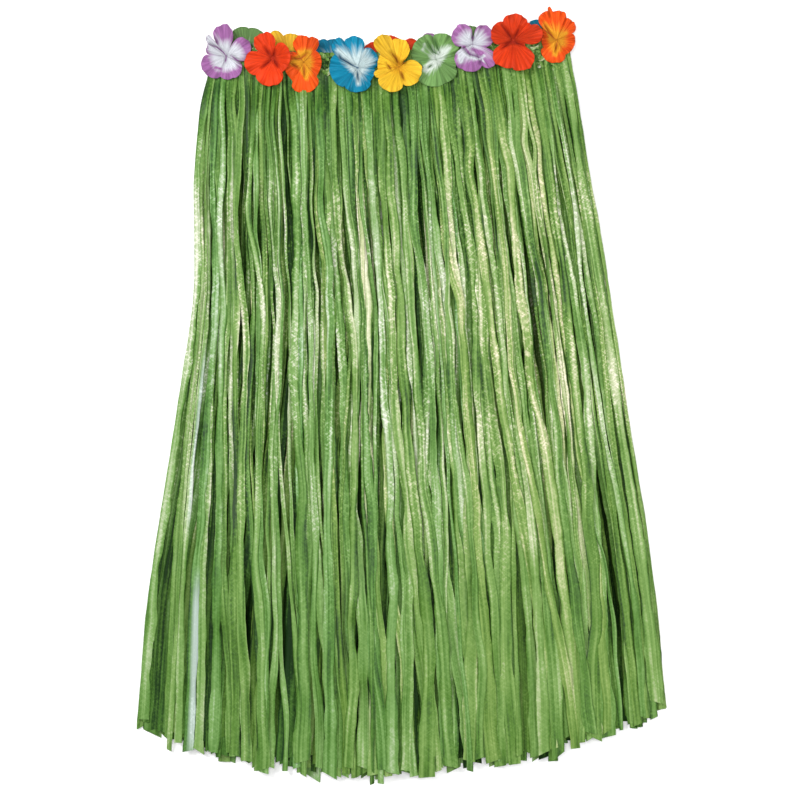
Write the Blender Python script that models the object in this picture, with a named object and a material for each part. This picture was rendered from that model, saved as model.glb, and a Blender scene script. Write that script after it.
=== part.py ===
"""A grass skirt with silk flowers round its waistband, laid flat on its back.

The skirt lies in the XY plane: the waist is towards +Y, the hem towards -Y, and +Z comes up out of its
front. From the floor up, it is the pressed back flowers, three rows of back fringe, the back half of the
waistband, its front half, three rows of front fringe, and the cupped front flowers. Each row of fringe is
a header tape with its raffia strands growing from it. Everything is in metres.
"""

import math
import random
from collections import namedtuple

import bmesh
import bpy
from mathutils import Vector

# Driving sizes.
SEAM_GAP = 0.0003
WAIST_HALF_WIDTH = 0.194
WAIST_SAG = 0.0241  # how far the waistband's ends rise above its middle
WAIST_TILT = 0.0108  # and how far the right end is above that, and the left end below
FRINGE_LENGTH = 0.7465
HEM_HALF_WIDTH = 0.2816
HEM_SAG = 0.0575
HEM_TILT = 0.0049

# The waistband, one elastic loop pressed flat, wrapped all round with raffia.
BAND_HEIGHT = 0.025
BAND_THICKNESS = 0.0012
BAND_WRAPS = 46
WRAP_GROOVE = 0.0004
BAND_BACK_PANELS = 20
BAND_GREEN = (0.16, 0.30, 0.08)
BAND_ROUGHNESS = 0.5

# The header tapes that the strands hang from, sewn to the waistband's lower half.
HEADER_HEIGHT = 0.012
HEADER_DROP = 0.010  # from the waist line down to a header's lower edge
HEADER_THICKNESS = 0.0012
HEADER_UPPER_POINTS = 12

# The strands: ribbons of raffia folded once along their length, with a flat underside and a ridge.
STRANDS_PER_ROW = 40
STRAND_GAP = 0.0011
STRAND_WIDEST = 0.0098
STRAND_NARROWEST = 0.0030
STRAND_SHUFFLE = 0.22  # how unevenly the strands are spaced, as a share of their pitch
SHUFFLE_START = 4.0  # the shuffle is full from 1/4 of the length down
ROOT_FILL = 0.72  # share of the pitch that a strand's root takes
RIDGE_SPREAD = 0.18  # how far a ridge wanders from the middle of its strand
RIDGE_WANDER = 7.0  # and how fast, in radians over the strand's length
TIP_TRIM = 0.07  # how unevenly the tips are cut, as a share of the last section
CORNER_TRIM = 0.03
RAFFIA_ROUGHNESS = 0.35

# The rows puff up in the middle of the skirt, and thin out to its sides.
SIDE_THINNING = 0.7
PUFF = 0.25
PUFF_ACROSS = 5.0  # radians from the middle to a side
PUFF_ALONG = 9.0  # radians from the waist to the hem

# The slow waves that the strands of a row sway in together. share: of a section's sway. across, along:
# waves over the half width and over the length. phase: times the row's own.
Wave = namedtuple("Wave", "share across along phase")
SWAY_WAVES = (Wave(1.0, 1.2, 0.7, 1.0), Wave(0.6, 3.3, -1.2, 2.0))

# Silk flowers.
PETALS = 5
PETAL_THICKNESS = 0.0012
PETAL_NOTCH = 0.24
PETAL_ROUNDNESS = 0.45  # how fast a petal widens from its notch
HUB_SHARE = 0.20  # of the flower's radius
CREASE_SHARE = 0.58  # where the creases between petals are deepest
CREASE_RISE = 0.66  # the petals' height there, as a share of the rim's
CREASE = 0.0011
RUFFLE = 0.0008
RUFFLES_PER_PETAL = 2
RUFFLE_PHASE = 1.0
POINTS_PER_OPEN_PETAL = 6
POINTS_PER_PRESSED_PETAL = 4
PRESSED_HEIGHT = 0.0036
PRESSED_HUB_SHARE = 0.45
PRESSED_LIFT = 0.0015  # every other back flower lies on the petals of its neighbours
SILK_ROUGHNESS = 0.8

# along: share of the strand's length from the waist. left, right: the skirt's half widths there.
# ridge: a strand's height. loft: the air between two rows. sway: how far the strands wander sideways.
Section = namedtuple("Section", "along left right ridge loft sway")
SECTIONS = (
    Section(0.00, 0.184, 0.186, 0.0012, 0.0000, 0.0000),
    Section(0.05, 0.193, 0.193, 0.0013, 0.0000, 0.0004),
    Section(0.15, 0.203, 0.205, 0.0020, 0.0015, 0.0016),
    Section(0.34, 0.205, 0.228, 0.0023, 0.0018, 0.0034),
    Section(0.56, 0.226, 0.250, 0.0023, 0.0015, 0.0042),
    Section(0.79, 0.251, 0.274, 0.0022, 0.0010, 0.0038),
    Section(1.00, 0.265, 0.290, 0.0019, 0.0006, 0.0050),
)
RIDGE_ROOM = 0.0004  # least air above a ridge

# level: the row's place in the pile, from the floor. phase: shifts its waves against the other rows'.
Row = namedtuple("Row", "name level phase green")
BACK_ROWS = (
    Row("fringe_back_outer", 0, 0.3, (0.20, 0.42, 0.12)),
    Row("fringe_back_middle", 1, 1.9, (0.17, 0.36, 0.10)),
    Row("fringe_back_inner", 2, 3.1, (0.15, 0.32, 0.09)),
)
FRONT_ROWS = (
    Row("fringe_front_inner", 3, 4.4, (0.15, 0.32, 0.09)),
    Row("fringe_front_middle", 4, 5.3, (0.19, 0.40, 0.11)),
    Row("fringe_front_outer", 5, 0.9, (0.24, 0.48, 0.15)),
)

DYES = {
    "purple": (0.55, 0.30, 0.62),
    "red": (0.80, 0.08, 0.03),
    "orange": (0.92, 0.16, 0.02),
    "blue": (0.01, 0.24, 0.55),
    "yellow": (0.90, 0.50, 0.03),
    "green": (0.16, 0.40, 0.12),
}

# at: across the waist. rise: above the waist line. wide, high: half sizes. cup: the rim's height over the
# header. spin: the direction of one petal, in degrees.
FrontFlower = namedtuple("FrontFlower", "dye at rise wide high cup spin")
FRONT_FLOWERS = (
    FrontFlower("purple", -0.168, 0.002, 0.0255, 0.0290, 0.0040, 96),
    FrontFlower("red", -0.126, 0.000, 0.0245, 0.0285, 0.0130, 113),
    FrontFlower("orange", -0.089, -0.001, 0.0215, 0.0295, 0.0040, 85),
    FrontFlower("blue", -0.038, -0.001, 0.0260, 0.0285, 0.0085, 55),
    FrontFlower("yellow", 0.009, -0.002, 0.0265, 0.0290, 0.0140, 55),
    FrontFlower("green", 0.050, -0.001, 0.0255, 0.0290, 0.0040, 70),
    FrontFlower("purple", 0.089, 0.005, 0.0235, 0.0255, 0.0095, 52),
    FrontFlower("red", 0.130, 0.002, 0.0260, 0.0290, 0.0155, 82),
    FrontFlower("orange", 0.174, -0.003, 0.0210, 0.0290, 0.0050, 80),
)

BackFlower = namedtuple("BackFlower", "dye at rise radius spin")
BACK_FLOWERS = (
    BackFlower("green", -0.150, 0.003, 0.0250, 90),
    BackFlower("yellow", -0.104, 0.004, 0.0250, 60),
    BackFlower("blue", -0.058, 0.001, 0.0250, 90),
    BackFlower("red", -0.009, 0.002, 0.0260, 60),
    BackFlower("purple", 0.037, 0.003, 0.0240, 90),
    BackFlower("green", 0.081, 0.001, 0.0240, 90),
    BackFlower("orange", 0.122, -0.003, 0.0240, 60),
    BackFlower("blue", 0.163, -0.002, 0.0260, 60),
)


def clear_scene():
    for obj in list(bpy.data.objects):
        bpy.data.objects.remove(obj, do_unlink=True)


def material(name, colour, roughness):
    """The material of this name, made the first time that it is asked for."""
    made = bpy.data.materials.get(name)
    if made is None:
        made = bpy.data.materials.new(name)
        made.use_nodes = True
        shader = made.node_tree.nodes["Principled BSDF"]
        shader.inputs["Base Color"].default_value = (*colour, 1.0)
        shader.inputs["Roughness"].default_value = roughness
        shader.inputs["Metallic"].default_value = 0.0
    return made


def add_solid(name, points, faces, finish):
    """One named object from its points and faces, with every face turned outwards."""
    mesh = bpy.data.meshes.new(name)
    mesh.from_pydata([tuple(p) for p in points], [], faces)
    shape = bmesh.new()
    shape.from_mesh(mesh)
    bmesh.ops.recalc_face_normals(shape, faces=shape.faces)
    shape.to_mesh(mesh)
    shape.free()
    mesh.materials.append(finish)
    obj = bpy.data.objects.new(name, mesh)
    bpy.context.scene.collection.objects.link(obj)
    return obj


def blend(start, end, share):
    return start + (end - start) * share


def waist_height(x):
    """The waist line's Y at X: a shallow smile, higher at its right end."""
    across = x / WAIST_HALF_WIDTH
    return WAIST_TILT * across + WAIST_SAG * across * across


def hem_height(x):
    across = x / HEM_HALF_WIDTH
    return HEM_TILT * across + HEM_SAG * across * across - FRINGE_LENGTH


def waist_stack():
    """The underside of each layer sewn together at the waist, from the floor up."""
    layers = [row.name for row in BACK_ROWS]
    layers += ["waistband_back", "waistband_front"]
    layers += [row.name for row in FRONT_ROWS]
    heights = {}
    z = PRESSED_HEIGHT + SEAM_GAP
    for layer in layers:
        heights[layer] = z
        z += (BAND_THICKNESS if layer.startswith("waistband") else HEADER_THICKNESS) + SEAM_GAP
    heights["front_flowers"] = z
    return heights


def row_height(row, section, across, root_z):
    """The underside of a row at a section: stacked at the waist, then spread out and down to the floor."""
    if section.loft == 0.0:
        return root_z
    edge = 1.0 - SIDE_THINNING * across**4
    puff = 1.0 + PUFF * math.sin(PUFF_ACROSS * across + PUFF_ALONG * section.along)
    return row.level * (section.ridge + RIDGE_ROOM + section.loft * edge * puff)


def sway(row, section, across):
    """How far the row's strands lean sideways at a section, in waves that leave the outline alone."""
    lean = 0.0
    for wave in SWAY_WAVES:
        turns = wave.across * across + wave.along * section.along
        lean += wave.share * math.sin(2.0 * math.pi * turns + wave.phase * row.phase)
    return section.sway * lean * (1.0 - across**6)


def strand_spans(row, section, shuffle):
    """(left edge, right edge) of each strand of a row at a section, side by side with air between them."""
    step = 2.0 / STRANDS_PER_ROW
    settled = min(1.0, SHUFFLE_START * section.along)
    places = [-1.0 + step * (i + 0.5 + shuffle[i] * settled) for i in range(STRANDS_PER_ROW)]
    centres = [
        blend(-section.left, section.right, (across + 1.0) / 2.0) + sway(row, section, across)
        for across in places
    ]
    bounds = [(a + b) / 2.0 for a, b in zip(centres, centres[1:])]
    bounds = [-section.left, *bounds, section.right]
    spans = []
    for centre, low, high in zip(centres, bounds, bounds[1:]):
        if section.along == 0.0:
            half = (high - low) / 2.0 * ROOT_FILL
            centre = (low + high) / 2.0
        else:
            low += STRAND_GAP / 2.0
            high -= STRAND_GAP / 2.0
            half = min(STRAND_WIDEST / 2.0, centre - low, high - centre)
            half = max(half, STRAND_NARROWEST / 2.0)
            centre = min(max(centre, low + half), high - half)
        spans.append((centre - half, centre + half))
    return spans


def strand_sections(row, root_z, rng):
    """For each strand, a list of its triangular sections: left edge, right edge and ridge."""
    step = 2.0 / STRANDS_PER_ROW
    shuffle = [rng.uniform(-STRAND_SHUFFLE, STRAND_SHUFFLE) for _ in range(STRANDS_PER_ROW)]
    spans = [strand_spans(row, section, shuffle) for section in SECTIONS]
    strands = []
    for i in range(STRANDS_PER_ROW):
        across = -1.0 + step * (i + 0.5)
        foot = hem_height(blend(-SECTIONS[-1].left, SECTIONS[-1].right, (across + 1.0) / 2.0))
        fold = rng.uniform(-RIDGE_SPREAD, RIDGE_SPREAD)
        wave = rng.uniform(0.0, 2.0 * math.pi)
        sections = []
        for section, span in zip(SECTIONS, spans):
            left, right = span[i]
            z = row_height(row, section, across, root_z)
            peak = 0.5 + fold * math.sin(wave + RIDGE_WANDER * section.along) if section.along else 0.5
            corners = []
            for x, rise in ((left, 0.0), (right, 0.0), (blend(left, right, peak), section.ridge)):
                top = waist_height(x) - HEADER_DROP
                corners.append(Vector((x, blend(top, foot, section.along), z + rise)))
            sections.append(corners)
        trim_tip(sections, rng)
        strands.append(sections)
    return strands


def trim_tip(sections, rng):
    """Cuts a strand's end a little longer or shorter, and a little askew."""
    length = rng.uniform(-TIP_TRIM, TIP_TRIM)
    slant = rng.uniform(-CORNER_TRIM, CORNER_TRIM)
    for corner, (before, end) in enumerate(zip(sections[-2], sections[-1])):
        lean = (slant, -slant, 0.0)[corner]
        sections[-1][corner] = end + (end - before) * (length + lean)


def add_fringe_row(row, root_z):
    """A header tape with its strands grown from its lower edge, as one closed solid."""
    rng = random.Random(1000 + row.level)
    strands = strand_sections(row, root_z, rng)
    top_z = root_z + HEADER_THICKNESS
    left, right = -SECTIONS[0].left, SECTIONS[0].right
    points, faces = [], []

    def add(x, y, z):
        points.append((x, y, z))
        return len(points) - 1

    start = [add(left, waist_height(left) - HEADER_DROP, z) for z in (root_z, top_z)]
    lower_bottom, lower_top = [start[0]], [start[1]]
    for sections in strands:
        rings = [[add(*corner) for corner in corners] for corners in sections]
        for (a, b, c), (d, e, f) in zip(rings, rings[1:]):
            faces += [(a, b, e, d), (b, c, f, e), (c, a, d, f)]
        faces.append(tuple(rings[-1]))
        root_left, root_right, root_ridge = rings[0]
        faces.append((lower_bottom[-1], root_left, root_ridge, lower_top[-1]))
        lower_bottom += [root_left, root_right]
        lower_top.append(root_ridge)
    end = [add(right, waist_height(right) - HEADER_DROP, z) for z in (root_z, top_z)]
    faces.append((lower_bottom[-1], end[0], end[1], lower_top[-1]))
    lower_bottom.append(end[0])
    lower_top.append(end[1])

    rise = HEADER_HEIGHT - HEADER_DROP
    upper_x = [blend(right, left, i / (HEADER_UPPER_POINTS - 1)) for i in range(HEADER_UPPER_POINTS)]
    upper_bottom = [add(x, waist_height(x) + rise, root_z) for x in upper_x]
    upper_top = [add(x, waist_height(x) + rise, top_z) for x in upper_x]
    for i in range(HEADER_UPPER_POINTS - 1):
        faces.append((upper_bottom[i], upper_bottom[i + 1], upper_top[i + 1], upper_top[i]))
    faces.append((end[0], upper_bottom[0], upper_top[0], end[1]))
    faces.append((upper_bottom[-1], start[0], start[1], upper_top[-1]))
    faces.append(tuple(lower_bottom + upper_bottom))
    faces.append(tuple(reversed(lower_top + upper_top)))
    return add_solid(row.name, points, faces, material(row.name, row.green, RAFFIA_ROUGHNESS))


def add_band_half(name, bottom_z, columns):
    """Half of the waistband. columns is a list of (x, thickness there) from left to right."""
    points, faces = [], []
    for x, thickness in columns:
        middle = waist_height(x)
        for side in (-BAND_HEIGHT / 2.0, BAND_HEIGHT / 2.0):
            points += [(x, middle + side, bottom_z), (x, middle + side, bottom_z + thickness)]
    rings = [tuple(range(4 * i, 4 * i + 4)) for i in range(len(columns))]
    for (a, b, c, d), (e, f, g, h) in zip(rings, rings[1:]):
        faces += [(a, e, f, b), (b, f, h, d), (d, h, g, c), (c, g, e, a)]
    first, last = rings[0], rings[-1]
    faces += [(first[0], first[1], first[3], first[2]), (last[0], last[2], last[3], last[1])]
    return add_solid(name, points, faces, material("waistband", BAND_GREEN, BAND_ROUGHNESS))


def wrapped_columns():
    """The front half's columns: a raised wrap of raffia, then the groove before the next one."""
    columns = []
    for i in range(2 * BAND_WRAPS + 1):
        x = blend(-WAIST_HALF_WIDTH, WAIST_HALF_WIDTH, i / (2 * BAND_WRAPS))
        columns.append((x, BAND_THICKNESS - (WRAP_GROOVE if i % 2 == 0 else 0.0)))
    return columns


def plain_columns():
    return [
        (blend(-WAIST_HALF_WIDTH, WAIST_HALF_WIDTH, i / BAND_BACK_PANELS), BAND_THICKNESS)
        for i in range(BAND_BACK_PANELS + 1)
    ]


def petal_outline(points_per_petal, spin):
    """(direction, share of the radius, place across its petal from 0 to 1) of each point round a flower."""
    count = PETALS * points_per_petal
    outline = []
    for i in range(count):
        place = (i % points_per_petal) / points_per_petal
        angle = math.radians(spin) + 2.0 * math.pi * (i / count - 0.5 / PETALS)
        reach = 1.0 - PETAL_NOTCH * (1.0 - math.sin(math.pi * place) ** PETAL_ROUNDNESS)
        outline.append((angle, reach, place))
    return outline


def flat_ring(place):
    return 0.0


def creased_ring(place):
    """Raised along the middle of each petal, and sunk where it meets the next."""
    return -CREASE * math.cos(2.0 * math.pi * place)


def ruffled_ring(place):
    return RUFFLE * math.sin(2.0 * math.pi * RUFFLES_PER_PETAL * place + RUFFLE_PHASE)


def add_flower(name, centre, wide, high, outline, upper, lower, dye):
    """A silk flower. upper and lower give the rings of its face and underside, from the hub out: a share of
    the radius, a height, and a function for the height's change across a petal."""
    points, faces = [], []

    def add_ring(share, height, relief):
        first = len(points)
        for angle, reach, place in outline:
            grown = share * blend(1.0, reach, share)
            x = centre[0] + wide * grown * math.cos(angle)
            y = centre[1] + high * grown * math.sin(angle)
            points.append((x, y, centre[2] + height + relief(place)))
        return list(range(first, len(points)))

    def join(inner, outer):
        for i in range(len(inner)):
            j = (i + 1) % len(inner)
            faces.append((inner[i], outer[i], outer[j], inner[j]))

    face_rings = [add_ring(*ring) for ring in upper]
    under_rings = [add_ring(*ring) for ring in lower]
    for rings in (face_rings, under_rings):
        faces.append(tuple(rings[0]))
        for inner, outer in zip(rings, rings[1:]):
            join(inner, outer)
    join(face_rings[-1], under_rings[-1])
    return add_solid(name, points, faces, material("petal_" + dye, DYES[dye], SILK_ROUGHNESS))


def add_front_flower(number, flower, base_z):
    """A flower that stands up off the header like a shallow trumpet."""
    lower = [
        (HUB_SHARE, 0.0, flat_ring),
        (CREASE_SHARE, CREASE_RISE * flower.cup + CREASE, creased_ring),
        (1.0, flower.cup + RUFFLE, ruffled_ring),
    ]
    upper = [(share, height + PETAL_THICKNESS, relief) for share, height, relief in lower]
    centre = (flower.at, waist_height(flower.at) + flower.rise, base_z)
    outline = petal_outline(POINTS_PER_OPEN_PETAL, flower.spin)
    name = f"flower_front_{number}_{flower.dye}"
    return add_flower(name, centre, flower.wide, flower.high, outline, upper, lower, flower.dye)


def add_back_flower(number, flower):
    """A flower pressed flat between the skirt's back and the floor, with its face down."""
    lift = PRESSED_LIFT if number % 2 else 0.0
    lower = [(HUB_SHARE, 0.0, flat_ring), (1.0, 0.0, flat_ring)]
    upper = [
        (HUB_SHARE, PRESSED_HEIGHT - lift, flat_ring),
        (PRESSED_HUB_SHARE, PETAL_THICKNESS, flat_ring),
        (1.0, PETAL_THICKNESS, flat_ring),
    ]
    centre = (flower.at, waist_height(flower.at) + flower.rise, lift)
    outline = petal_outline(POINTS_PER_PRESSED_PETAL, flower.spin)
    name = f"flower_back_{number}_{flower.dye}"
    return add_flower(name, centre, flower.radius, flower.radius, outline, upper, lower, flower.dye)


def centre_on_floor(objects):
    """Moves everything so that the origin is at the middle of the underside of the whole skirt."""
    corners = [obj.matrix_world @ Vector(corner) for obj in objects for corner in obj.bound_box]
    low = Vector(min(c[k] for c in corners) for k in range(3))
    high = Vector(max(c[k] for c in corners) for k in range(3))
    shift = Vector(((low.x + high.x) / 2.0, (low.y + high.y) / 2.0, low.z))
    for obj in objects:
        obj.location -= shift


def build():
    clear_scene()
    heights = waist_stack()
    objects = [add_back_flower(i + 1, flower) for i, flower in enumerate(BACK_FLOWERS)]
    objects += [add_fringe_row(row, heights[row.name]) for row in BACK_ROWS + FRONT_ROWS]
    objects.append(add_band_half("waistband_back", heights["waistband_back"], plain_columns()))
    objects.append(add_band_half("waistband_front", heights["waistband_front"], wrapped_columns()))
    base_z = heights["front_flowers"]
    objects += [add_front_flower(i + 1, flower, base_z) for i, flower in enumerate(FRONT_FLOWERS)]
    bpy.context.view_layer.update()
    centre_on_floor(objects)


build()
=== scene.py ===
"""The looks of a grass skirt laid flat: crumpled raffia ribbons, a wrapped waistband and silk flowers.

The skirt's own plane has x across it and y up from the middle of its waist line. SHIFT takes it to the
frame. Everything is in metres, except where a comment says otherwise.
"""

import math
from collections import namedtuple

import bpy
import numpy as np
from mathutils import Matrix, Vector


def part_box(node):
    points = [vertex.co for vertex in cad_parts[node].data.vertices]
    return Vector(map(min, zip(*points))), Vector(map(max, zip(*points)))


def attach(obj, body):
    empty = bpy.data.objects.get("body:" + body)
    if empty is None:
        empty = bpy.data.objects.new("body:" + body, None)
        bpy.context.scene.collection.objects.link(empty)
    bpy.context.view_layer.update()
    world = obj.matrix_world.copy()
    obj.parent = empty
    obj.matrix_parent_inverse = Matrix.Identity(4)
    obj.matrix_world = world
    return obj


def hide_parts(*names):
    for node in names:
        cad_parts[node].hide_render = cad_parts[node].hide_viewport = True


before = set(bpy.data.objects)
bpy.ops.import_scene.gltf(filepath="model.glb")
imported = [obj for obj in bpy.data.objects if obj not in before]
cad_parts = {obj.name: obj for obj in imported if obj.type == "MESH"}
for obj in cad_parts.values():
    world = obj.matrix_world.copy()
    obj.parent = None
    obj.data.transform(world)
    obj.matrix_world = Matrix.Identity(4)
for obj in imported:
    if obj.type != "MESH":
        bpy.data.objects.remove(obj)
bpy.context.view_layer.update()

# The skirt's plan, as the frame's solids have it.
WAIST_HALF_WIDTH = 0.194
WAIST_SAG = 0.0241
WAIST_TILT = 0.0108
FRINGE_LENGTH = 0.7465
HEM_HALF_WIDTH = 0.2816
HEM_SAG = 0.0575
HEM_TILT = 0.0049
BAND_HEIGHT = 0.025
MM = 1000.0  # millimetres in a metre

# along: share of a strand's length from the waist. left, right: the skirt's half widths there. ribbon: a
# ribbon's half width. sway: how far it wanders. crumple: the depth of its folds.
Section = namedtuple("Section", "along left right ribbon sway crumple")
SECTIONS = (
    Section(0.00, 0.184, 0.186, 0.0028, 0.0000, 0.0008),
    Section(0.05, 0.192, 0.192, 0.0028, 0.0020, 0.0009),
    Section(0.15, 0.201, 0.204, 0.0027, 0.0046, 0.0011),
    Section(0.34, 0.203, 0.227, 0.0028, 0.0062, 0.0012),
    Section(0.56, 0.225, 0.250, 0.0031, 0.0060, 0.0011),
    Section(0.79, 0.250, 0.275, 0.0039, 0.0054, 0.0008),
    Section(1.00, 0.263, 0.289, 0.0052, 0.0050, 0.0007),
)
ROOT_DROP = 0.007  # from the waist line down to where the ribbons leave the waistband
LENGTH_CUT = 0.0075  # how much shorter than their solids most ribbons are
LENGTH_SPREAD = 0.004  # how unevenly they are cut
WIDTH_RANGE = (0.45, 1.70)  # how wide they are, as a share of SECTIONS' width
WIDTH_WAVES = ((0.26, 0.16), (0.10, 0.040))  # how much a ribbon's width varies, and over what length
NARROW, NARROW_LONGER = 0.70, 0.006  # the strips narrower than this hang up to this much lower
BUNDLES = 44  # groups of neighbours that are trimmed alike, and draw together towards the hem
BUNDLE_SPREAD, BUNDLE_PULL = 0.0045, 0.62  # how unevenly they are trimmed, and how far they draw together
SPLAY = 0.026  # how far a ribbon's end leans sideways
DEEP_NARROWER = 0.035  # how much less a row of depth 1 would fan out
DEEP_SHORTER = 0.012  # and how much shorter it would be
LEFT_EDGE = 0.07  # the front's left fans out less, but for this share of the width at the very edge
STRAIGHT_LEFT = 0.21  # how much less in its outer row
STRAIGHT_WAIST, STRAIGHT_UNTIL = 0.85, 0.16  # and in all its rows, down to this share of the length
BEND_SPACING, BEND_SOFTNESS = 0.15, 0.030  # from one bend to the next, and the length that a bend takes
KINK_SIZE, KINK_LENGTH = 0.0005, 0.085  # short bends, besides the long sway
TWIST, TWIST_LENGTH = 0.30, 0.21  # radians that a ribbon turns about itself, and over what length
EDGE_TUCK, EDGE_SHARPNESS = (0.1, 1.7), 9  # how far its edges turn down, next to its folds, and how sharply
END_SLANT = 0.35  # the slope of its cut end
ROOT_LIGHT, ROOT_SHADE = 0.66, 0.24  # how light it is at its root, and the share of the length in shade

# One row of ribbons stands for each fringe solid, and they are laid in this order, from the floor up. root:
# a row's height at the waistband. wide: how wide its ribbons are next to SECTIONS'. across, along: quads.
# lift: the height that one ribbon adds to the pile. depth: how far inside the skirt the row is, up to 1; the
# further inside, the more painted shade its colour has.
# parting: how far it parts at the lens-shaped gaps.
Row = namedtuple("Row", "side layer count root wide across along lift depth parting")
ROWS = (
    Row("back", "outer", 72, 0.0052, 1.15, 6, 110, 0.0014, 0.0, 0.0),
    Row("back", "middle", 60, 0.0064, 1.30, 5, 80, 0.0012, 0.65, 0.0),
    Row("back", "inner", 60, 0.0078, 1.45, 5, 80, 0.0011, 0.80, 0.0),
    Row("front", "inner", 60, 0.0110, 1.45, 5, 90, 0.0011, 0.80, 0.0),
    Row("front", "middle", 84, 0.0122, 1.0, 6, 130, 0.0013, 0.42, 0.7),
    Row("front", "outer", 96, 0.0134, 1.0, 7, 148, 0.0012, 0.0, 1.0),
)
# Where the front's outer ribbons show their pale reverse: x, the y that it starts and ends at, how much.
PALE_STRETCHES = (
    (-0.203, -0.285, -0.500, 0.62),
    (-0.202, -0.520, -0.740, 0.80),
    (0.246, -0.525, -0.610, 0.5),
)
PALE_FADE = 0.05  # the length over which it starts and ends
PALE_EDGE = (-0.8, 2.2)  # it starts part of the way across, and is full before the far edge
FOLD_WAVES = ((0.55, 1.1), (0.40, 2.1), (0.25, 3.3))  # share, half waves across a ribbon
GAP_COUNT = 140
GAP_OPENING = (0.0016, 0.0042)  # how far a gap pushes the ribbons aside
GAP_HALF_LENGTH = (0.040, 0.095)  # as a share of the skirt's length
GAP_REACH = 0.045  # how far away it still pushes, as a share of the half width
GAP_EDGE = 0.006  # and how near its middle the push changes sides

PILE_CELL = 0.002
PILE_CORNER = (-0.36, -0.86)  # its lowest x and y
PILE_CELLS = (360, 480)
FLOOR_HEIGHT = 0.0002  # what the lowest ribbons rest on
LEAST_HEIGHT = 0.0003  # of any point of a ribbon
REST_SHARE, REST_PLACES = 0.85, 7  # how much of a ribbon's width rests on the pile, and at how many places
REST_BRIDGE, REST_SMOOTH = 8, 14  # steps that it bridges, and smooths over
BACK_FLOWER_HEIGHT = 0.0039  # the pressed back flowers' top
BACK_FLOWER_REACH = 0.028  # and how far they reach down from the waist line
HEM_FLATTEN = 0.45  # how much less a ribbon adds to the pile at its end
SETTLE = 0.055  # the length over which a ribbon comes down from the waistband to the pile

PHOTO_SIZE = 800  # pixels each way
METRES_PER_PIXEL = 0.001043
PHOTO_WAIST = (389.0, 63.1)  # the waist line's middle, in the photo's pixels
CAMERA_HEIGHT = 2.6
CAMERA_FOCUS_PLANE = 0.014  # the height at which METRES_PER_PIXEL holds
SENSOR = 36.0  # millimetres


def blend(start, end, share):
    return start + (end - start) * share


def waist_height(x):
    across = x / WAIST_HALF_WIDTH
    return WAIST_TILT * across + WAIST_SAG * across * across


def hem_height(x):
    across = x / HEM_HALF_WIDTH
    return HEM_TILT * across + HEM_SAG * across * across - FRINGE_LENGTH


def smooth_step(x):
    x = np.clip(x, 0.0, 1.0)
    return x * x * (3.0 - 2.0 * x)


def section_curve(field, along):
    """A smooth curve through one column of SECTIONS."""
    knots = np.array([section.along for section in SECTIONS])
    values = np.array([getattr(section, field) for section in SECTIONS])
    slopes = np.gradient(values, knots)
    i = np.clip(np.searchsorted(knots, along) - 1, 0, len(knots) - 2)
    width = knots[i + 1] - knots[i]
    q = (along - knots[i]) / width
    rise = q * q * (3.0 - 2.0 * q)
    leave = q * (1.0 - q) ** 2 * width
    arrive = -q * q * (1.0 - q) * width
    return blend(values[i], values[i + 1], rise) + slopes[i] * leave + slopes[i + 1] * arrive


def frame_shift():
    """From the skirt's plane to the frame, read from the front of the waistband."""
    low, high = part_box("waistband_front")
    top = waist_height(WAIST_HALF_WIDTH) + BAND_HEIGHT / 2.0
    return np.array(((low.x + high.x) / 2.0, high.y - top, 0.0))


SHIFT = frame_shift()


def stacked(*values):
    """The values together for each point of a grid. A value may be the same all along the grid, or across."""
    return np.stack(np.broadcast_arrays(*values), axis=-1)


def grid_faces(first, rows, columns, closed=False, looped=False):
    """Quads over a grid of points, rows by columns, from point number first. closed joins the last column
    to the first, and looped the last row to the first."""
    i = np.arange(rows if looped else rows - 1)[:, None]
    j = np.arange(columns if closed else columns - 1)[None, :]
    here, after, k = i * columns, (i + 1) % rows * columns, (j + 1) % columns
    return first + stacked(here + j, here + k, after + k, after + j).reshape(-1, 4)


def strip_faces(count, rows, columns):
    """Quads over count grids of points that follow each other."""
    return np.concatenate([grid_faces(k * rows * columns, rows, columns) for k in range(count)])


def add_object(name, data):
    obj = bpy.data.objects.new(name, data)
    bpy.context.scene.collection.objects.link(obj)
    return obj


def add_piece(name, points, faces, attributes, finish, replaced):
    """A mesh piece that rides with the skirt and stands for the nodes in replaced. points and attributes
    are grids of triples, and faces is a list of arrays with a row of point numbers for each face."""
    mesh = bpy.data.meshes.new(name)
    mesh.vertices.add(points.size // 3)
    mesh.vertices.foreach_set("co", (points + SHIFT).astype(np.float32).ravel())
    corners = np.concatenate([kind.ravel() for kind in faces])
    sizes = np.concatenate([np.full(len(kind), kind.shape[1]) for kind in faces])
    starts = np.concatenate(([0], np.cumsum(sizes)[:-1]))
    mesh.loops.add(len(corners))
    mesh.loops.foreach_set("vertex_index", corners.astype(np.int32))
    mesh.polygons.add(len(sizes))
    mesh.polygons.foreach_set("loop_start", starts.astype(np.int32))
    mesh.update(calc_edges=True)
    mesh.validate()
    mesh.shade_smooth()
    for key, values in attributes.items():
        layer = mesh.attributes.new(key, "FLOAT_VECTOR", "POINT")
        layer.data.foreach_set("vector", values.astype(np.float32).ravel())
    mesh.materials.append(finish)
    obj = add_object(name, mesh)
    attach(obj, "root")
    if replaced:
        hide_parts(*replaced)
    return obj


# ---- materials ----


def make(tree, kind, inputs=None, **settings):
    """A shader node with its settings, and its inputs set to values or linked from other nodes' outputs."""
    made = tree.nodes.new(kind)
    for key, value in settings.items():
        setattr(made, key, value)
    for key, value in (inputs or {}).items():
        if isinstance(value, bpy.types.NodeSocket):
            tree.links.new(value, made.inputs[key])
        else:
            made.inputs[key].default_value = value
    return made


def calculate(tree, operation, *values):
    return make(tree, "ShaderNodeMath", dict(enumerate(values)), operation=operation).outputs[0]


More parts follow.
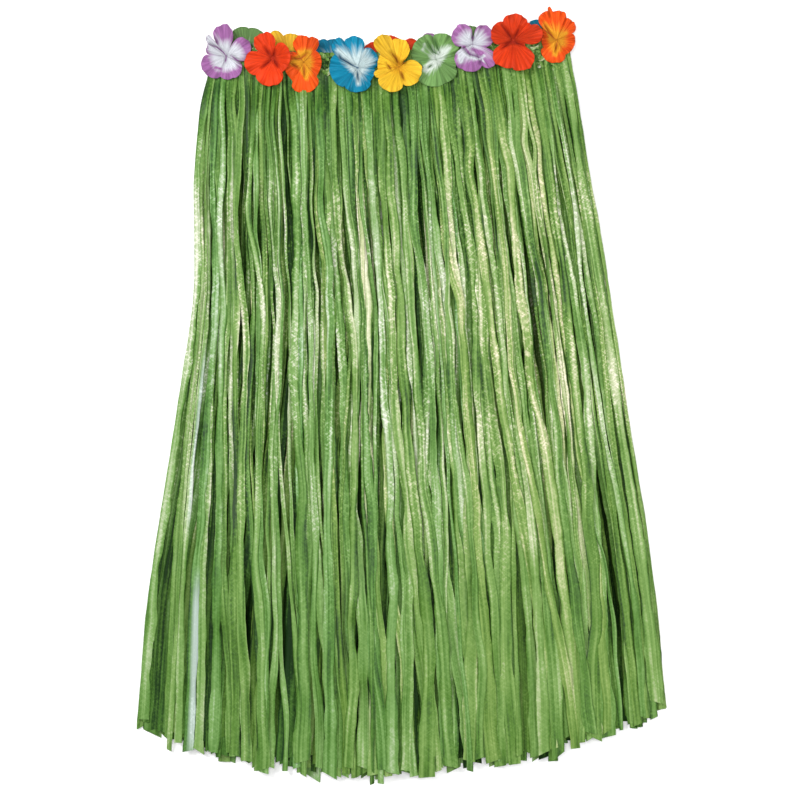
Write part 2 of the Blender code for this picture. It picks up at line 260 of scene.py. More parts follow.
def multiply(tree, value, factor):
    return calculate(tree, "MULTIPLY", value, factor)


def multiply_add(tree, value, factor, more):
    return calculate(tree, "MULTIPLY_ADD", value, factor, more)


def remap(tree, value, low, high, to_low=0.0, to_high=1.0):
    inputs = {0: value, 1: low, 2: high, 3: to_low, 4: to_high}
    return make(tree, "ShaderNodeMapRange", inputs).outputs[0]


def mix_colour(tree, share, first, second, blend_type="MIX"):
    inputs = {0: share}
    for key, colour in ((6, first), (7, second)):
        inputs[key] = colour if isinstance(colour, bpy.types.NodeSocket) else (*colour, 1.0)
    return make(tree, "ShaderNodeMix", inputs, data_type="RGBA", blend_type=blend_type).outputs[2]


def combine(tree, x, y, z):
    return make(tree, "ShaderNodeCombineXYZ", {0: x, 1: y, 2: z}).outputs[0]


def shaded(tree, colour, amount):
    """A colour times a grey amount."""
    return mix_colour(tree, 1.0, colour, combine(tree, amount, amount, amount), "MULTIPLY")


def noise(tree, vector, scale=1.0, detail=2.0):
    inputs = {"Vector": vector, "Scale": scale, "Detail": detail}
    return make(tree, "ShaderNodeTexNoise", inputs).outputs[0]


def attribute(tree, name):
    found = make(tree, "ShaderNodeAttribute", attribute_name=name)
    return make(tree, "ShaderNodeSeparateXYZ", {0: found.outputs["Vector"]}).outputs


def new_material(name, roughness):
    made = bpy.data.materials.new(name)
    made.use_nodes = True
    shader = made.node_tree.nodes["Principled BSDF"]
    shader.inputs["Roughness"].default_value = roughness
    return made, made.node_tree, shader


def add_bump(tree, shader, height, strength, distance):
    inputs = {"Height": height, "Strength": strength, "Distance": distance}
    tree.links.new(make(tree, "ShaderNodeBump", inputs).outputs[0], shader.inputs["Normal"])


# The film's colours, as (tone, red, green, blue), from the painted shade of its darkest folds to the painted
# highlights of its brightest wrinkles.
RAFFIA_TONES = (
    (0.00, 0.014, 0.041, 0.009),
    (0.22, 0.069, 0.156, 0.024),
    (0.48, 0.160, 0.266, 0.076),
    (0.74, 0.385, 0.430, 0.268),
    (1.00, 0.650, 0.615, 0.525),
)
# The same for the few ribbons that show the film's pale reverse.
PALE_TONES = (
    (0.34, 0.370, 0.440, 0.410),
    (0.46, 0.520, 0.585, 0.580),
    (0.60, 0.700, 0.740, 0.740),
)
YELLOWER = (1.06, 1.00, 0.84)
BLUER = (0.80, 1.00, 1.10)
WAIST_CALM = (-0.03, 0.17)  # distances from the waist over which the wrinkles and their painted highlights grow
HEM_CALM = (0.37, 0.60)  # and over which they fade
CALM_SHARE = 0.20  # how much of them is left at either end
DEEP_TONE = 0.40  # painted shade: how much darker a row of depth 1 would be
WAIST_LIT = (0.0, 0.28)  # distances from the waist over which the painted shade on the inner rows grows
HEM_LIT = (0.62, 0.74)  # and over which they are lit again
DEEP_WAIST_LIGHT = 0.75  # how much of their painted shade goes at their roots
DEEP_HEM_LIGHT = 0.6  # and at their ends


def tone_ramp(tree, value, stops):
    made = make(tree, "ShaderNodeValToRGB", {0: value})
    elements = made.color_ramp.elements
    while len(elements) < len(stops):
        elements.new(0.5)
    for element, (at, *colour) in zip(elements, stops):
        element.position = at
        element.color = (*colour, 1.0)
    return made.outputs[0]


def weigh(tree, base, *terms):
    """base plus share * (value - middle) for each (value, middle, share)."""
    total = base
    for value, middle, share in terms:
        total = multiply_add(tree, calculate(tree, "SUBTRACT", value, middle), share, total)
    return total


def raffia_material(name, depth):
    """Glossy plastic film, crushed lengthways into facets and fine wrinkles. Its colour carries painted shade
    on its folds, turned-down edges and the rows inside the skirt, and painted highlights, glints and sheen on
    its ridges and wrinkles.
    """
    made, tree, shader = new_material(name, roughness=0.46)
    light_inside = 1.0 - depth
    along, across, seed = attribute(tree, "strand")
    # the tint's third value is painted light on the folds' ridges and shade in their hollows and turned-down
    # edges
    hue, light, ridge_and_light = attribute(tree, "tint_and_shade")
    seed_far = multiply(tree, seed, 37.0)

    def film(along_scale, across_scale, skew=0.0, detail=1.0):
        a = multiply(tree, along, along_scale)
        a = multiply_add(tree, across, skew, a)
        b = multiply(tree, across, across_scale)
        return noise(tree, combine(tree, a, b, seed_far), detail=detail)

    # crinkles: relief for the bump, and painted glints in the colour
    crush = multiply(tree, film(430.0, 200.0, 300.0, 2.0), film(470.0, 200.0, -330.0, 2.0))
    facets = film(7.0, 260.0)
    facet_shade = remap(tree, facets, 0.44, 0.56)
    fibres = film(12.0, 900.0)
    sheen_patches = film(14.0, 50.0)
    place = make(tree, "ShaderNodeNewGeometry").outputs["Position"]
    # painted light: broad lighter and darker patches fixed in the frame
    sheen = noise(tree, place, scale=9.0, detail=1.0)
    from_waist = remap(tree, along, *WAIST_CALM, CALM_SHARE, 1.0)
    wrinkles_and_sheen = multiply(tree, from_waist, remap(tree, along, *HEM_CALM, 1.0, CALM_SHARE))
    shiny = multiply(tree, remap(tree, sheen_patches, 0.42, 0.60), wrinkles_and_sheen)
    glints = multiply(tree, remap(tree, crush, 0.24, 0.36), shiny)

    # painted light and shade on ridges, facets and creases, and painted sheen and glints, besides the fibres
    # and each ribbon's lightness
    tone = weigh(
        tree,
        0.0,
        (ridge_and_light, 0.5, 0.44),
        (facets, 0.5, 0.66),
        (facet_shade, 0.5, 0.16),
        (fibres, 0.5, 0.36),
        (sheen_patches, 0.5, 0.70),
        (sheen, 0.5, 0.55),
        (light, 1.0, 0.75),
        (crush, 0.25, 0.70),
        (glints, 0.3, 0.28),
    )
    # painted light: towards the middle of its length the film is lighter and has more contrast
    contrast = multiply_add(tree, wrinkles_and_sheen, 0.385, 0.495)
    middle = multiply_add(tree, wrinkles_and_sheen, 0.186, 0.353)
    tone = multiply_add(tree, tone, contrast, middle)
    # painted shade: rows inside the skirt get a lower tone
    tone = calculate(tree, "SUBTRACT", tone, DEEP_TONE * depth)
    colour = tone_ramp(tree, tone, RAFFIA_TONES)
    tinted = mix_colour(tree, hue, YELLOWER, BLUER)
    colour = mix_colour(tree, 1.0, colour, tinted, "MULTIPLY")
    bleach, _, _ = attribute(tree, "bleach")
    colour = mix_colour(tree, bleach, colour, tone_ramp(tree, tone, PALE_TONES))
    # painted shade on the inner rows, less of it at their roots and ends
    at_waist = blend(light_inside, 1.0, DEEP_WAIST_LIGHT)
    at_hem = blend(light_inside, 1.0, DEEP_HEM_LIGHT)
    depth_shade = remap(tree, along, *WAIST_LIT, at_waist, light_inside)
    colour = shaded(tree, colour, remap(tree, along, *HEM_LIT, depth_shade, at_hem))
    tree.links.new(colour, shader.inputs["Base Color"])

    height = multiply(tree, crush, multiply_add(tree, shiny, 0.9, 0.25))
    height = weigh(tree, height, (fibres, 0.5, 0.20), (facets, 0.5, 0.45))
    add_bump(tree, shader, height, strength=0.9, distance=0.0020)
    shader.inputs["Specular IOR Level"].default_value = 0.14 * light_inside**2
    return made


# ---- raffia ----


def wander(rng, count, s, wavelength):
    """Smooth random curves along s, one row for each of count ribbons, within -1 and 1."""
    total = np.zeros((count, len(s)))
    for share, stretch in ((0.55, 1.0), (0.30, 0.53), (0.15, 0.29)):
        length = wavelength * stretch * rng.uniform(0.8, 1.25, (count, 1))
        total += share * np.sin(math.tau * (s / length + rng.uniform(0.0, 1.0, (count, 1))))
    return total


def bends(rng, count, s):
    """Straight stretches with soft bends between them, one row for each of count ribbons, within -1 and 1."""
    knots = int(s[-1] / BEND_SPACING) + 2
    lines = np.empty((count, len(s)))
    for k in range(count):
        places = (np.arange(knots) + rng.uniform(-0.35, 0.35, knots)) * s[-1] / (knots - 1)
        line = np.interp(s, places, rng.uniform(-1.0, 1.0, knots))
        lines[k] = smoothed(line, round(BEND_SOFTNESS / (s[1] - s[0])))
    return lines


def draw_gaps(rng):
    """The gaps, each with its place across and along the skirt, its half length and its opening."""
    across = rng.uniform(-0.97, 0.97, GAP_COUNT)
    along = rng.uniform(0.03, 1.02, GAP_COUNT)
    half_length = rng.uniform(*GAP_HALF_LENGTH, GAP_COUNT)
    return stacked(across, along, half_length, rng.uniform(*GAP_OPENING, GAP_COUNT))


def gap_shift(gaps, across, along):
    """How far the gaps push a ribbon sideways."""
    total = np.zeros_like(along + across)
    for at, middle, half_length, opening in gaps:
        side = np.tanh((across - at) / GAP_EDGE) * np.exp(-np.abs(across - at) / GAP_REACH)
        window = np.cos(np.clip((along - middle) / half_length, -1.0, 1.0) * math.pi / 2.0) ** 2
        total += opening * side * window
    return total


class Pile:
    """The height of all that lies on the surface so far, on a square grid."""

    def __init__(self):
        """The floor, with the pressed back flowers along the waist."""
        self.heights = np.full(PILE_CELLS, FLOOR_HEIGHT)
        x = PILE_CORNER[0] + PILE_CELL * np.arange(PILE_CELLS[0])[:, None]
        y = PILE_CORNER[1] + PILE_CELL * np.arange(PILE_CELLS[1])[None, :]
        flowers = (np.abs(x) < WAIST_HALF_WIDTH) & (y > waist_height(x) - BACK_FLOWER_REACH)
        self.heights[flowers] = BACK_FLOWER_HEIGHT

    def cells(self, x, y):
        i = ((x - PILE_CORNER[0]) / PILE_CELL).astype(int)
        j = ((y - PILE_CORNER[1]) / PILE_CELL).astype(int)
        return np.clip(i, 0, PILE_CELLS[0] - 1), np.clip(j, 0, PILE_CELLS[1] - 1)

    def rest(self, x, y, sides, half):
        """The heights that a ribbon rests at along its fine path, bridging what is too short to follow."""
        offsets = np.linspace(-REST_SHARE, REST_SHARE, REST_PLACES)[:, None] * half
        cells = self.cells(x + sides[0] * offsets, y + sides[1] * offsets)
        under = self.heights[cells].max(axis=0)
        bridged = smoothed(highest(under, REST_BRIDGE), REST_SMOOTH)
        return np.maximum(under, bridged), cells

    def add(self, cells, top):
        np.maximum.at(self.heights, cells, np.broadcast_to(top, cells[0].shape))


def highest(values, reach):
    """The greatest value within reach of each one."""
    padded = np.pad(values, reach, mode="edge")
    return np.lib.stride_tricks.sliding_window_view(padded, 2 * reach + 1).max(axis=-1)


def smoothed(values, reach):
    """Each value's average with those within reach."""
    weights = np.hanning(2 * reach + 3)[1:-1]
    return np.convolve(np.pad(values, reach, mode="edge"), weights / weights.sum(), mode="valid")


def ribbon_folds(rng, count, s, v):
    """Lengthwise folds of count ribbons along s and across v, within about -1 and 1, with flat facets."""
    total = np.zeros((count, len(s), len(v)))
    for share, waves in FOLD_WAVES:
        slow = wander(rng, count, s, 0.30) + 0.25 * wander(rng, count, s, 0.05)
        phase = rng.uniform(0.0, math.tau, (count, 1)) + 1.6 * slow
        strength = 0.75 + 0.35 * wander(rng, count, s, 0.12)
        wave = np.sin(math.pi * waves * v[None, None, :] + phase[:, :, None])
        total += share * strength[:, :, None] * np.arcsin(0.97 * wave) * 2.0 / math.pi
    return total


def ribbon_paths(row, rng, gaps, bundle_trims):
    """Each ribbon's line in plan, its half width, how far down the skirt each of its points is as a share,
    and the distance down it."""
    n = row.count
    base = np.linspace(0.0, 1.0, row.along + 1)
    s = base * FRINGE_LENGTH
    spread = (np.arange(n) + 0.5) / n * 2.0 - 1.0
    across = (spread + rng.uniform(-0.6, 0.6, n) / n)[:, None]
    bundle = ((across + 1.0) / 2.0 * (BUNDLES - 1)).round().astype(int)
    width = rng.uniform(*WIDTH_RANGE, (n, 1))
    trims = BUNDLE_SPREAD * np.clip(bundle_trims[bundle], -1.8, 1.2) + rng.normal(0.0, LENGTH_SPREAD, (n, 1))
    trims -= DEEP_SHORTER * row.depth
    trims += NARROW_LONGER * smooth_step((NARROW - width) / 0.12)
    along = base * (1.0 + (trims - LENGTH_CUT) / FRINGE_LENGTH)
    left, right = section_curve("left", along), section_curve("right", along)
    swell = sum((share * wander(rng, n, s, length) for share, length in WIDTH_WAVES), 1.0)
    half = row.wide * section_curve("ribbon", along) * width * swell
    kinky = smooth_step(along / 0.15) * (1.0 - smooth_step((along - 0.5) / 0.35))
    kinks = KINK_SIZE * kinky * wander(rng, n, s, KINK_LENGTH)
    sway = section_curve("sway", along) * bends(rng, n, s) + kinks
    splay = SPLAY * rng.normal(0.0, 0.45, (n, 1)) * smooth_step((along - 0.45) / 0.6)
    gathered = 2.0 * bundle / (BUNDLES - 1) - 1.0
    drawn = blend(across, gathered, BUNDLE_PULL * smooth_step((along - 0.35) / 0.5))
    share = (drawn * (1.0 - DEEP_NARROWER * row.depth) + 1.0) / 2.0
    x = blend(-left, right, share)
    if row.side == "front":
        at_left = (1.0 - share) * np.minimum(share / LEFT_EDGE, 1.0)
        still_to_fan = section_curve("left", np.maximum(along, STRAIGHT_UNTIL)) - left
        x = x - STRAIGHT_WAIST * still_to_fan * at_left
        if row.layer == "outer":
            x = x + STRAIGHT_LEFT * left * smooth_step((along - 0.25) / 0.75) * at_left
    opened = row.parting * gap_shift(gaps, across, along)
    inside = 1.0 - np.abs(across) ** 8
    x = x + (sway + splay + opened) * inside
    x = np.clip(x, -left + 0.7 * half, right - 0.7 * half)
    root_y = waist_height(x[:, :1]) - ROOT_DROP
    foot_y = hem_height(x[:, -1:])
    return x, blend(root_y, foot_y, along), half, along, s


def settle_ribbons(row, pile, rng, s, lines):
    """The height of each ribbon along its path, laid on what is already in the pile. lines: its x and y, the
    x and y of the direction across it, and its half width."""
    n, m = lines[0].shape
    z = np.zeros((n, m))
    coarse = np.arange(m)
    finer = 4 if row.along > 120 else 8  # so that a step is less than a cell
    fine = np.linspace(0.0, m - 1.0, finer * (m - 1) + 1)
    lift = row.lift * (1.0 - HEM_FLATTEN * smooth_step((s / FRINGE_LENGTH - 0.6) / 0.4))
    fine_lift = np.interp(fine, coarse, lift)
    down = np.interp(fine, coarse, smooth_step(s / SETTLE))
    for k in rng.permutation(n):
        x, y, *sides, half = [np.interp(fine, coarse, line[k]) for line in lines]
        under, cells = pile.rest(x, y, sides, half)
        under = blend(row.root, under, down)
        pile.add(cells, under + fine_lift)
        z[k] = np.interp(coarse, fine, under) + lift / 2.0
    return z[:, :, None]


def lay_ribbons(row, pile, rng, gaps, bundle_trims):
    """Points and attributes of a row's ribbons."""
    x, y, half, along, s = ribbon_paths(row, rng, gaps, bundle_trims)
    n, m = x.shape
    step_x, step_y = np.gradient(x, axis=1), np.gradient(y, axis=1)
    size = np.hypot(step_x, step_y)
    side_x, side_y = -step_y / size, step_x / size
    z = settle_ribbons(row, pile, rng, s, (x, y, side_x, side_y, half))

    v = np.linspace(-1.0, 1.0, row.across + 1)
    v = 0.5 * (v + np.sin(v * math.pi / 2.0))
    crumple = section_curve("crumple", along)[:, :, None]
    profile = crumple * ribbon_folds(rng, n, s, v)
    # painted light: the folds' ridges are lighter, their hollows darker
    ridge_and_light = 0.5 + 0.5 * profile / crumple
    edge = np.abs(v) ** EDGE_SHARPNESS
    right_tuck, left_tuck = rng.uniform(*EDGE_TUCK, (2, n, 1, 1))
    tuck = edge * np.where(v > 0.0, right_tuck, left_tuck)
    profile = profile * (1.0 - 0.5 * edge) - crumple * tuck
    reach = v * half[:, :, None]
    twist = (TWIST * wander(rng, n, s, TWIST_LENGTH) * (1.0 - 0.4 * along))[:, :, None]
    sideways = reach * np.cos(twist) - profile * np.sin(twist)
    upwards = reach * np.sin(twist) + profile * np.cos(twist)
    lean = np.zeros((n, m, 1))
    lean[:, -1, 0] = rng.normal(0.0, END_SLANT, n)
    points = stacked(
        x[:, :, None] + side_x[:, :, None] * sideways,
        y[:, :, None] + side_y[:, :, None] * sideways + lean * sideways,
        np.maximum(z + upwards, LEAST_HEIGHT),
    )

    seed = rng.uniform(0.0, 10.0, (n, 1, 1))
    hue = np.clip(rng.normal(0.40, 0.20, (n, 1, 1)), 0.0, 1.0)
    from_root = blend(ROOT_LIGHT, 1.0, smooth_step(along / ROOT_SHADE))
    light = np.clip(rng.normal(1.0, 0.15, (n, 1)), 0.65, 1.40) * from_root
    # painted shade on the edges that turn down
    tint_and_shade = stacked(hue, light[:, :, None], np.clip(ridge_and_light - 0.45 * tuck, 0.0, 1.0))
    return points, {"strand": stacked(s[:, None], reach, seed), "tint_and_shade": tint_and_shade}


def pale_stretches(points):
    """How far each point of a row's ribbons shows the film's pale reverse."""
    columns = points.shape[2]
    x, y = points[:, :, columns // 2, 0], points[:, :, columns // 2, 1]
    across = smooth_step(np.linspace(*PALE_EDGE, columns))
    bleach = np.zeros_like(points)
    for at, top, foot, amount in PALE_STRETCHES:
        away = np.where((y < top) & (y > foot), np.abs(x - at), np.nan)
        nearest = np.nanargmin(np.nanmean(away, axis=1))
        fade = smooth_step((top - y[nearest]) / PALE_FADE) * smooth_step((y[nearest] - foot) / PALE_FADE)
        bleach[nearest, :, :, 0] += amount * fade[:, None] * across
    return bleach


def add_ribbons(row, pile, rng, gaps, bundle_trims):
    points, attributes = lay_ribbons(row, pile, rng, gaps, bundle_trims)
    if row.side == "front" and row.layer == "outer":
        attributes["bleach"] = pale_stretches(points)
    name, node = f"raffia_{row.side}_{row.layer}", f"fringe_{row.side}_{row.layer}"
    finish = raffia_material("raffia_" + node, row.depth)
    faces = [strip_faces(*points.shape[:3])]
    return add_piece(name, points, faces, attributes, finish, [node])


def add_all_ribbons():
    rng = np.random.default_rng(7)
    gaps = draw_gaps(rng)
    bundle_trims = rng.normal(0.0, 1.0, BUNDLES)
    pile = Pile()
    return [add_ribbons(row, pile, rng, gaps, bundle_trims) for row in ROWS]


# ---- waistband ----

BAND_FRONT_HEIGHT = 0.0123
BAND_BACK_HEIGHT = 0.0067
BAND_HALF_THICKNESS = 0.0016
BAND_TURN_IN = 0.016  # the loop's ends stay this far inside the solid's, behind the outermost flowers
BAND_STEPS, BAND_ROUND = 620, 36  # points along the loop, and round its section
WRAP_WIDTH = 0.0062
WRAP_RELIEF = 0.0007
WRAP_SKEW, WRAP_LEAN = 0.22, 0.25  # wraps that one advances through the thickness, and up the height
CRUSH_LENGTH, CRUSH_STEP = 0.014, 0.002  # of its small folds


def band_path():
    """The line round the flattened loop, along the front and back behind it, in columns: x, z, the x and z
    of the direction outwards, and the distance so far. The last value is the whole distance."""
    reach = WAIST_HALF_WIDTH - BAND_TURN_IN
    radius = (BAND_FRONT_HEIGHT - BAND_BACK_HEIGHT) / 2.0
    middle = (BAND_FRONT_HEIGHT + BAND_BACK_HEIGHT) / 2.0
    run, bend = 2.0 * reach, math.pi * radius
    whole = 2.0 * (run + bend)
    d = (np.arange(BAND_STEPS) / BAND_STEPS * whole)[:, None]
    right_turn = np.clip((d - run) / radius, 0.0, math.pi)
    left_turn = np.clip((d - 2.0 * run - bend) / radius, 0.0, math.pi)
    out_x, out_z = np.sin(right_turn + left_turn), np.cos(right_turn + left_turn)
    x = np.minimum(d, run) - np.clip(d - run - bend, 0.0, run) - reach
    return x + radius * out_x, middle + radius * out_z, out_x, out_z, d, whole


def add_waistband(finish):
    x, z, out_x, out_z, d, whole = band_path()
    turn = np.arange(BAND_ROUND) / BAND_ROUND * math.tau
    cross_y = np.sign(np.cos(turn)) * np.abs(np.cos(turn)) ** 0.8 * BAND_HEIGHT / 2.0
    cross_n = np.sin(turn)
    wraps = round(whole / WRAP_WIDTH)
    place = d / whole * wraps + WRAP_SKEW * cross_n + WRAP_LEAN * cross_y / BAND_HEIGHT
    wrap = np.floor(place)
    rng = np.random.default_rng(11)
    tones = rng.uniform(0.0, 1.0, (3, 4 * wraps))
    swelling, tone, seed = tones[:, (wrap.astype(int) + wraps) % (4 * wraps)]
    ridge_and_light = np.abs(np.sin(math.pi * place)) ** 0.6
    crush = wander(rng, BAND_STEPS, np.arange(BAND_ROUND) * CRUSH_STEP, CRUSH_LENGTH)
    thickness = BAND_HALF_THICKNESS * cross_n * (1.0 - 0.25 * (2.0 * cross_y / BAND_HEIGHT) ** 2)
    swell = WRAP_RELIEF * (ridge_and_light - 0.5 + 0.8 * (swelling - 0.5) + 0.3 * crush)
    out = thickness + swell * np.sign(cross_n) * np.abs(cross_n) ** 0.5
    rise = cross_y * (1.0 + 0.05 * (tone - 0.5) + 0.04 * (ridge_and_light - 1.0))
    points = stacked(x + out_x * out, waist_height(x) + rise, z + out_z * out)
    attributes = {
        "strand": stacked(rise, (place - wrap) * WRAP_WIDTH, 10.0 * seed),
        # painted light on the wraps' ridges and shade between them
        "tint_and_shade": stacked(0.4 * swelling, 0.50 + 0.50 * tone, ridge_and_light - 0.2),
    }
    faces = [grid_faces(0, BAND_STEPS, BAND_ROUND, closed=True, looped=True)]
    nodes = ["waistband_front", "waistband_back"]
    return add_piece("waistband", points, faces, attributes, finish, nodes)


# ---- curled ends ----

# Where the raffia's knotted ends show between the flowers, in millimetres from the middle of the waist line.
CURL_SITES = (
    (-142, 16), (-140.5, 15), (-67, 8), (-66, 0), (-65, -9), (67.5, 16), (65.5, 7.5),
    (107, 16), (110, 13.5), (154, 14), (158, 5), (157, -3), (171, -3), (153, 35),
)
CURLS_PER_SITE = 5
CURL_SCATTER = 0.0016
CURL_RADIUS = (0.0030, 0.0065)
CURL_SWEEP = (0.8, 2.2)  # how far a curl bends round, in radians
CURL_HALF_WIDTH = (0.0012, 0.0022)
CURL_HEIGHT = 0.0150
CURL_LIFT = 0.0008  # how unevenly the curls lie
CURL_ARCH = 0.0014  # how much their middles stand above their ends
CURL_TILT = 0.8
CURL_ALONG = 0.08  # the distance from the waist whose wrinkles and painted glints they have
CURL_STEPS, CURL_COLUMNS = 16, 4


def add_curls(finish):
    """Short ends of raffia, bent round on the waistband."""
    rng = np.random.default_rng(23)
    points, strand, tint_and_shade = [], [], []
    v = np.linspace(-1.0, 1.0, CURL_COLUMNS)
    t = np.linspace(0.0, 1.0, CURL_STEPS)[:, None]
    for site in np.repeat(CURL_SITES, CURLS_PER_SITE, axis=0):
        x, y = site / MM + rng.normal(0.0, CURL_SCATTER, 2)
        radius, sweep = rng.uniform(*CURL_RADIUS), rng.uniform(*CURL_SWEEP)
        turn = rng.uniform(0.0, math.tau) + sweep * (t - 0.5)
        half = rng.uniform(*CURL_HALF_WIDTH) * (0.55 + 0.45 * np.sin(math.pi * t))
        reach = radius + half * v
        rise = CURL_HEIGHT + CURL_LIFT * rng.uniform(0.0, 1.0) + CURL_ARCH * np.sin(math.pi * t)
        tilt = rng.uniform(-CURL_TILT, CURL_TILT)
        x = x + reach * np.cos(turn) - radius * math.cos(turn.mean())
        y = y + reach * np.sin(turn) - radius * math.sin(turn.mean())
        points.append(stacked(x, y, rise + tilt * half * v))
        hue, light = rng.uniform(0.1, 0.5), rng.uniform(0.25, 1.15)
        # painted light: a curl's raised side is lighter, its lower side darker
        ridge_and_light = np.broadcast_to(0.5 + 0.5 * v * np.sign(tilt), reach.shape)
        tint_and_shade.append(stacked(hue, light, ridge_and_light))
        strand.append(stacked(CURL_ALONG + radius * sweep * t, half * v, rng.uniform(0.0, 10.0)))
    attributes = {"strand": np.concatenate(strand), "tint_and_shade": np.concatenate(tint_and_shade)}
    faces = [strip_faces(len(points), CURL_STEPS, CURL_COLUMNS)]
    return add_piece("raffia_curls", np.concatenate(points), faces, attributes, finish, [])


# ---- flowers ----

PETAL_CLOTH = 0.0005
PLEATS = 6
OPEN_RINGS, OPEN_AROUND = 40, 180
OPEN_HEADROOM = 0.0030  # from the cup's rim up to the top of the solid
OPEN_PLEAT = 0.0005
OPEN_CROWN = 0.0016  # how much a petal's middle stands above its edges
OPEN_NOTCH = 0.0020  # how deep the cloth dips between two petals
OPEN_DROOP = 0.0016  # how far the petals' tips hang down
OPEN_RUFFLE = 0.0016
FOLD_DARK = 0.0009  # half the width of the painted shade along a fold
FOLD_DEPTH = 0.0026
FOLD_RAISED, FOLD_ASIDE, FOLD_SPREAD = 0.0012, 0.0032, 0.0016  # the raised cloth beside a crease
PRESSED_RINGS, PRESSED_AROUND = 16, 120
PRESSED_HEIGHT, PRESSED_CROWN = 0.0011, 0.0006  # above the bottom of the solid, and more at the throat
PRESSED_PLEAT, PRESSED_WAVE, PRESSED_NOTCH = 0.0004, 0.0003, 0.0004

# throat, rim: colours at the middle and at the edge. The third colour is the painted shade in the folds.
# start, end: where the throat's colour gives way to the rim's, as shares of the radius. rays: how far it
# runs out in streaks.
Dye = namedtuple("Dye", "throat rim deep start end rays")
DYES = {
    "purple": Dye((0.49, 0.50, 0.54), (0.27, 0.105, 0.27), (0.13, 0.045, 0.14), 0.55, 0.98, 0.5),
    "red": Dye((0.47, 0.032, 0.006), (0.57, 0.036, 0.005), (0.28, 0.014, 0.004), 0.10, 0.60, 0.3),
    "orange": Dye((0.56, 0.24, 0.013), (0.60, 0.062, 0.004), (0.26, 0.050, 0.004), 0.28, 0.66, 0.5),
    "blue": Dye((0.39, 0.48, 0.49), (0.002, 0.160, 0.270), (0.001, 0.040, 0.090), 0.16, 0.76, 1.0),
    "yellow": Dye((0.53, 0.26, 0.010), (0.62, 0.37, 0.020), (0.25, 0.080, 0.005), 0.05, 0.50, 0.3),
    "green": Dye((0.43, 0.48, 0.43), (0.115, 0.225, 0.066), (0.030, 0.080, 0.020), 0.12, 0.60, 0.8),
}

